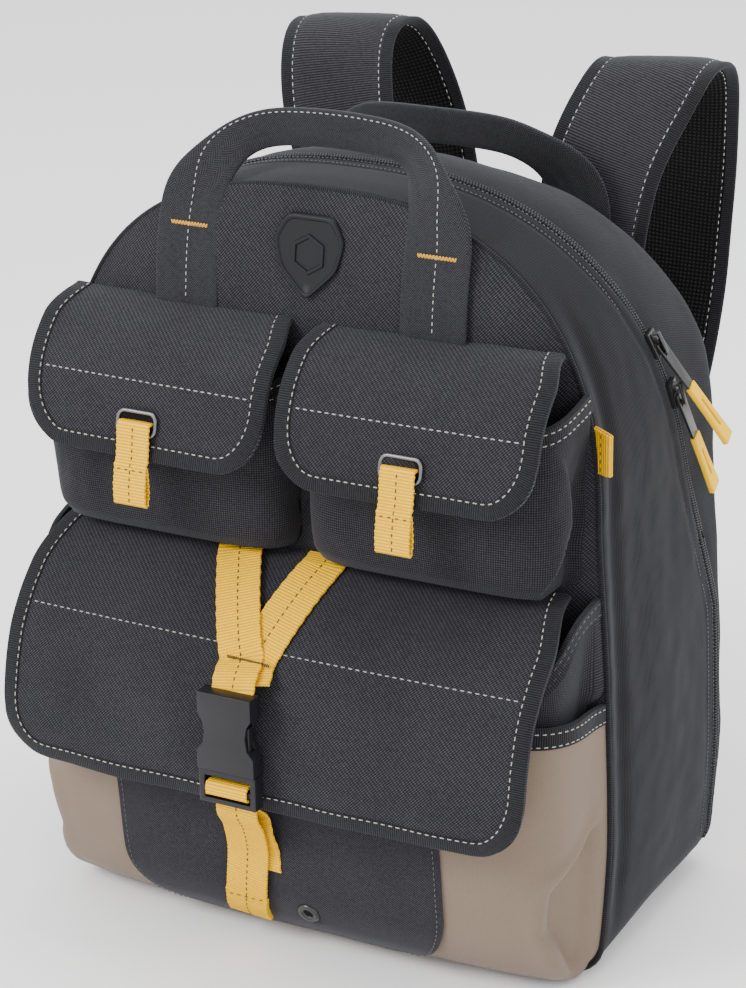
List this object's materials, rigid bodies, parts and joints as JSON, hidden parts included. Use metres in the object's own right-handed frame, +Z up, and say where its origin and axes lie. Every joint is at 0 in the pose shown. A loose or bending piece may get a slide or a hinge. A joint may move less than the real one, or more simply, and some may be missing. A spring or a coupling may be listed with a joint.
{
  "type": "tool backpack",
  "caption": "Arched zip-up tool backpack with small flap pockets over a large buckled flap pocket, open side pockets, webbing carry handles and padded shoulder straps.",
  "frame": {"origin": "centre of the bag's width on the surface it stands on, under the body", "axes": "+Z up, -Y the front with the flap pockets, +Y the back with the shoulder straps, +X the zip pull side (on the right when seen from the front)"},
  "size_m": [0.3526, 0.3899, 0.4596],
  "materials": {
    "black_fabric": "dense matt twill, dark charcoal, ribbed binding and light top stitching",
    "black_webbing": "herringbone webbing with a slight sheen",
    "tan_fabric": "coated tan canvas, matt",
    "yellow_webbing": "bright yellow ribbed webbing with a dark centre stitch",
    "yellow_grip": "moulded soft yellow grip, satin",
    "black_plastic": "moulded, fine grain",
    "grey_metal": "bent wire, dull silver grey",
    "zip_metal": "black lacquer, satin",
    "zip_coil": "black coil teeth",
    "mesh_padding": "foam padding under twill and spacer mesh",
    "badge_rubber": "moulded, satin, raised rim"
  },
  "bodies": {
    "bag": {"front_shell": "black_fabric", "rear_shell": "black_fabric", "zip_chain": "zip_coil", "zip_slider_upper": "zip_metal", "zip_slider_lower": "zip_metal", "zip_pull_lower": "zip_metal", "pull_tag_lower": "yellow_grip", "upper_pocket_left": "black_fabric", "upper_pocket_right": "black_fabric", "tan_wrap": "tan_fabric", "lower_pocket": "black_fabric", "centre_panel": "black_fabric", "upper_flap_left": "black_fabric", "upper_flap_right": "black_fabric", "flap_eyelet_left": "grey_metal", "flap_eyelet_right": "grey_metal", "pull_loop_left": "yellow_webbing", "pull_loop_right": "yellow_webbing", "large_flap": "black_fabric", "yoke_strap_right": "yellow_webbing", "yoke_strap_left": "yellow_webbing", "buckle_socket": "black_plastic", "buckle_plug": "black_plastic", "front_strap": "yellow_webbing", "drain_eyelet": "zip_metal", "badge": "badge_rubber", "front_handle": "black_webbing", "rear_handle": "black_webbing", "back_pad": "mesh_padding", "shoulder_strap_left": "mesh_padding", "shoulder_strap_right": "mesh_padding", "ladder_lock_left": "black_plastic", "ladder_lock_right": "black_plastic", "strap_tail_left": "black_webbing", "strap_tail_right": "black_webbing", "gear_loop": "yellow_webbing"},
    "upper_pull": {"zip_pull_upper": "zip_metal", "pull_tag_upper": "yellow_grip"}
  },
  "joints": [
    {"name": "upper_pull_hinge", "type": "hinge", "parent": "bag", "child": "upper_pull", "pos_m": [0.1554, 0.00358, 0.33176], "axis": [0.1432, -0.8905, -0.4318], "range_deg": [0, 100]}
  ]
}
